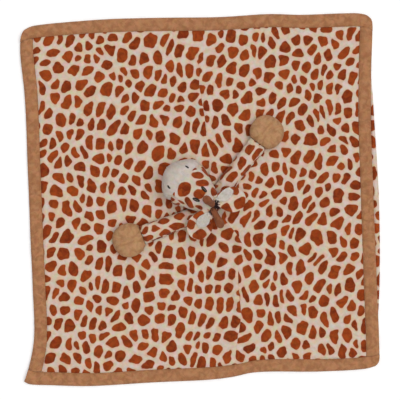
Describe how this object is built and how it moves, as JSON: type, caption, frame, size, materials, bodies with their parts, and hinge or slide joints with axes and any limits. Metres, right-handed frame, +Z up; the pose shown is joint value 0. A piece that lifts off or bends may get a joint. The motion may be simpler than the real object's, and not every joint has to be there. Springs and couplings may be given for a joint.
{
  "type": "comfort blanket",
  "caption": "Square double-layer plush comfort blanket with a spotted print and a tan border, and a stuffed giraffe head, ears, horns, arms and round paws sewn to its middle.",
  "frame": {"origin": "on the surface that the blanket lies on, under the middle of the whole toy", "axes": "+Z up, away from that surface; +Y towards the blanket's far edge; +X to the right"},
  "size_m": [0.3601, 0.3732, 0.0547],
  "materials": {
    "print_plush": "short-pile velour, cream ground printed with rust-brown giraffe spots",
    "tan_plush": "short-pile velour, plain tan",
    "cream_plush": "short-pile velour, plain cream",
    "white_plush": "fluffy off-white plush",
    "brown_plush": "short-pile velour, plain brown",
    "dark_yarn": "cut yarn, dark brown",
    "fibrefill": "loose polyester fibre",
    "dark_thread": "satin-stitched embroidery thread, nearly black",
    "grey_thread": "satin-stitched embroidery thread, warm grey"
  },
  "bodies": {
    "blanket": {"back_panel": "print_plush", "front_panel": "print_plush", "border_top": "tan_plush", "border_bottom": "tan_plush", "border_left": "tan_plush", "border_right": "tan_plush"},
    "neck": {"neck_sleeve": "print_plush", "neck_filling": "fibrefill", "left_shoulder_cover": "print_plush", "left_shoulder_filling": "fibrefill", "right_shoulder_cover": "print_plush", "right_shoulder_filling": "fibrefill"},
    "head": {"head_cover": "print_plush", "muzzle": "cream_plush", "head_filling": "fibrefill", "left_eye": "dark_thread", "right_eye": "dark_thread", "left_eye_highlight": "grey_thread", "right_eye_highlight": "grey_thread", "left_nostril": "dark_thread", "right_nostril": "dark_thread", "mane_tuft": "dark_yarn"},
    "left_ear": {"left_ear_back": "print_plush", "left_ear_lining": "white_plush"},
    "right_ear": {"right_ear_back": "print_plush", "right_ear_lining": "white_plush"},
    "left_horn": {"left_horn": "brown_plush"},
    "right_horn": {"right_horn": "brown_plush"},
    "left_arm": {"left_arm_cover": "print_plush", "left_arm_filling": "fibrefill"},
    "left_paw": {"left_paw_cover": "tan_plush", "left_paw_filling": "fibrefill"},
    "right_arm": {"right_arm_cover": "print_plush", "right_arm_filling": "fibrefill"},
    "right_paw": {"right_paw_cover": "tan_plush", "right_paw_filling": "fibrefill"}
  },
  "joints": [
    {"name": "neck_twist", "type": "hinge", "parent": "blanket", "child": "neck", "pos_m": [0.008, -0.0025, 0.0036], "axis": [0, 0, 1], "range_deg": [-20, 20], "stiffness_Nm_per_rad": 0.01},
    {"name": "head_nod", "type": "hinge", "parent": "neck", "child": "head", "pos_m": [0.01336, -0.007, 0.017], "axis": [0.6428, 0.766, 0], "range_deg": [0, 30]},
    {"name": "left_ear_fold", "type": "hinge", "parent": "head", "child": "left_ear", "pos_m": [0.00652, -0.01123, 0.0331], "axis": [-0.8988, 0.4384, 0], "range_deg": [0, 45]},
    {"name": "right_ear_fold", "type": "hinge", "parent": "head", "child": "right_ear", "pos_m": [0.01458, -0.0001, 0.0352], "axis": [0.0175, -0.9998, 0], "range_deg": [0, 45]},
    {"name": "left_horn_bend", "type": "hinge", "parent": "head", "child": "left_horn", "pos_m": [0.01351, -0.01238, 0.03288], "axis": [-0.8926, -0.4509, 0], "range_deg": [0, 45]},
    {"name": "right_horn_bend", "type": "hinge", "parent": "head", "child": "right_horn", "pos_m": [0.01099, -0.00411, 0.0386], "axis": [0.6428, 0.7661, 0], "range_deg": [-20, 20], "stiffness_Nm_per_rad": 0.001},
    {"name": "left_arm_lift", "type": "hinge", "parent": "neck", "child": "left_arm", "pos_m": [-0.01783, -0.02027, 0.0164], "axis": [-0.3502, 0.9367, 0], "range_deg": [0, 75]},
    {"name": "left_paw_flex", "type": "hinge", "parent": "left_arm", "child": "left_paw", "pos_m": [-0.05811, -0.03533, 0.0162], "axis": [-0.3502, 0.9367, 0], "range_deg": [0, 45]},
    {"name": "right_arm_lift", "type": "hinge", "parent": "neck", "child": "right_arm", "pos_m": [0.03084, 0.02232, 0.0164], "axis": [0.788, -0.6157, 0], "range_deg": [0, 75]},
    {"name": "right_paw_flex", "type": "hinge", "parent": "right_arm", "child": "right_paw", "pos_m": [0.05731, 0.0562, 0.0162], "axis": [0.788, -0.6157, 0], "range_deg": [0, 45]}
  ]
}
